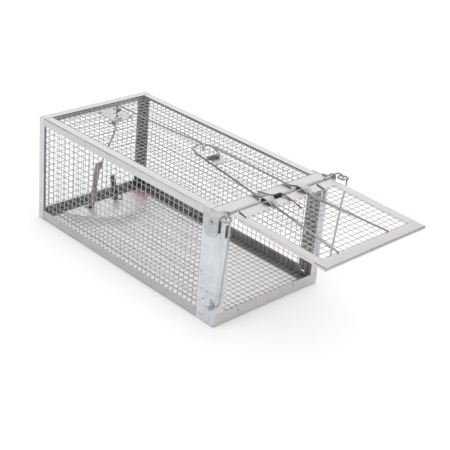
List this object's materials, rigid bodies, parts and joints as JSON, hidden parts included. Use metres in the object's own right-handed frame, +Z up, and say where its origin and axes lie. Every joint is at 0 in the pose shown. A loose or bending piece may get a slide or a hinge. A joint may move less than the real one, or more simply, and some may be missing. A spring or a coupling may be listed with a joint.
{
  "type": "live catch trap",
  "caption": "Welded-mesh live catch trap for small pests, with a sprung front door, lock wires, and a hanging pedal that works a trigger rod on the roof.",
  "frame": {"origin": "middle of the base: the centre of the overall footprint, on the surface the trap stands on", "axes": "+X from the rear panel towards the open door, +Z up, +Y completes a right-handed frame"},
  "size_m": [0.379, 0.1612, 0.1216],
  "materials": {
    "mesh_wire": "hot-dip galvanised welded mesh, satin with small zinc lumps at the crossings",
    "folded_sheet": "galvanised sheet, satin grey with a fine spangle and light scuffs",
    "drawn_wire": "drawn galvanised wire, smooth and slightly darker than the sheet",
    "spring_wire": "dark spring wire, lightly oiled",
    "rivet_steel": "dull rivet heads",
    "strap_steel": "brownish grey steel strap with light tarnish",
    "pedal_steel": "bright galvanised sheet",
    "bait_steel": "dark steel with light tarnish"
  },
  "bodies": {
    "cage": {"bottom_mesh": "mesh_wire", "left_mesh": "mesh_wire", "right_mesh": "mesh_wire", "top_mesh": "mesh_wire", "rear_mesh": "mesh_wire", "left_top_rail": "folded_sheet", "right_top_rail": "folded_sheet", "left_bottom_rail": "folded_sheet", "right_bottom_rail": "folded_sheet", "rear_frame_left": "folded_sheet", "rear_frame_right": "folded_sheet", "rear_frame_top": "folded_sheet", "rear_frame_bottom": "folded_sheet", "left_front_post": "folded_sheet", "right_front_post": "folded_sheet", "left_corner_plate": "folded_sheet", "right_corner_plate": "folded_sheet", "left_catch": "folded_sheet", "right_catch": "folded_sheet", "front_sill": "folded_sheet", "roof_header": "folded_sheet", "hinge_tabs": "folded_sheet", "hinge_rod": "drawn_wire", "left_hinge_ear": "folded_sheet", "right_hinge_ear": "folded_sheet", "ear_rivets": "rivet_steel", "sill_rivets": "rivet_steel", "trigger_bracket": "folded_sheet", "bracket_rivets": "rivet_steel", "pedal_pivot_pin": "drawn_wire", "spring_roof_leg": "spring_wire"},
    "door": {"door_mesh": "mesh_wire", "door_rear_strip": "folded_sheet", "door_front_strip": "folded_sheet", "door_left_strip": "folded_sheet", "door_right_strip": "folded_sheet", "left_hinge_knuckle": "folded_sheet", "right_hinge_knuckle": "folded_sheet", "door_staples": "drawn_wire", "left_arm": "drawn_wire", "right_arm": "drawn_wire", "arm_link_plate": "folded_sheet", "arm_link_wire": "drawn_wire", "door_spring": "spring_wire"},
    "pedal": {"pedal_lever": "drawn_wire", "pedal_strap": "strap_steel", "pedal_plate": "pedal_steel", "pedal_rivets": "rivet_steel", "bait_clip": "bait_steel", "bait_hook": "bait_steel"},
    "trigger": {"trigger_rod": "drawn_wire"},
    "left_lock": {"left_lock_wire": "drawn_wire"},
    "right_lock": {"right_lock_wire": "drawn_wire"}
  },
  "joints": [
    {"name": "door_hinge", "type": "hinge", "parent": "cage", "child": "door", "pos_m": [0.07852, 0, 0.1135], "axis": [0, 1, 0], "range_deg": [0, 88.35], "deforming": ["door_spring"]},
    {"name": "pedal_swing", "type": "hinge", "parent": "cage", "child": "pedal", "pos_m": [-0.15148, -0.004, 0.104], "axis": [0, 1, 0], "range_deg": [-6, 6]},
    {"name": "trigger_slide", "type": "slide", "parent": "cage", "child": "trigger", "axis": [1, 0, 0], "range_m": [-0.0014, 0.0014]},
    {"name": "left_lock_swing", "type": "hinge", "parent": "cage", "child": "left_lock", "pos_m": [0.08592, -0.075, 0.114], "axis": [0, 1, 0], "range_deg": [-84, 0]},
    {"name": "right_lock_swing", "type": "hinge", "parent": "cage", "child": "right_lock", "pos_m": [0.08592, 0.075, 0.114], "axis": [0, 1, 0], "range_deg": [-84, 0]}
  ],
  "couplings": [
    {"joint": "trigger_slide", "follows": "pedal_swing", "m_per_rad": 0.013}
  ]
}
